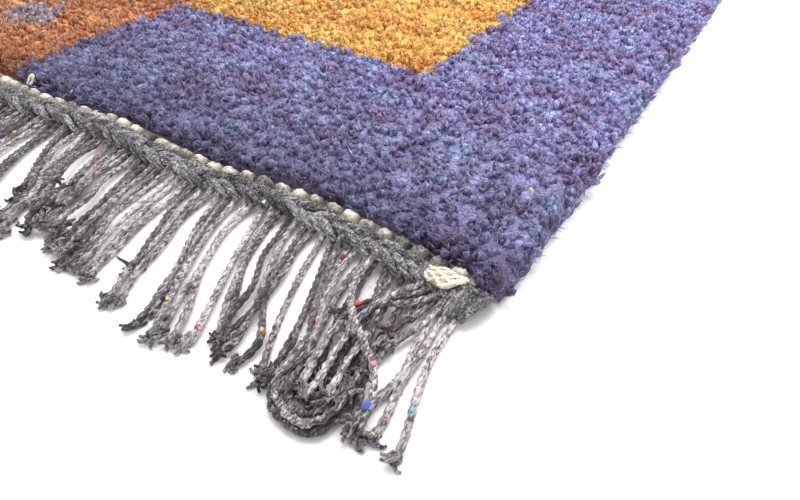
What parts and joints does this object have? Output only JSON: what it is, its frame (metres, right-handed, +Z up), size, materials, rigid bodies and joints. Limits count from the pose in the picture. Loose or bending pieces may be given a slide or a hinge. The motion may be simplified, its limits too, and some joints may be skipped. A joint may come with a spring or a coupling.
{
  "type": "rug",
  "caption": "Hand-knotted wool rug with coloured blocks in its pile, a woven row and a braided heading along each end, and a twisted cord fringe.",
  "frame": {"origin": "on the floor, at the middle of the rug and its two fringes", "axes": "+Z up from the floor, +Y along the rug's length away from the end that the picture shows, +X across its width towards the side that the picture shows"},
  "size_m": [0.6039, 1.126, 0.0183],
  "materials": {
    "pile_purple": "matte wool",
    "pile_orange": "matte wool",
    "pile_rust": "matte wool",
    "pile_lilac": "matte wool",
    "end_row_cotton": "matte cotton",
    "braid_yarn": "matte yarn",
    "fringe_yarn": "matte heathered yarn",
    "darn_thread": "matte thread"
  },
  "bodies": {
    "root": {"pile": "pile_purple", "end_row_front": "end_row_cotton", "end_row_back": "end_row_cotton", "braid_front": "braid_yarn", "braid_back": "braid_yarn", "fringe_front": "fringe_yarn", "fringe_back": "fringe_yarn", "corner_darn": "darn_thread"}
  },
  "joints": []
}
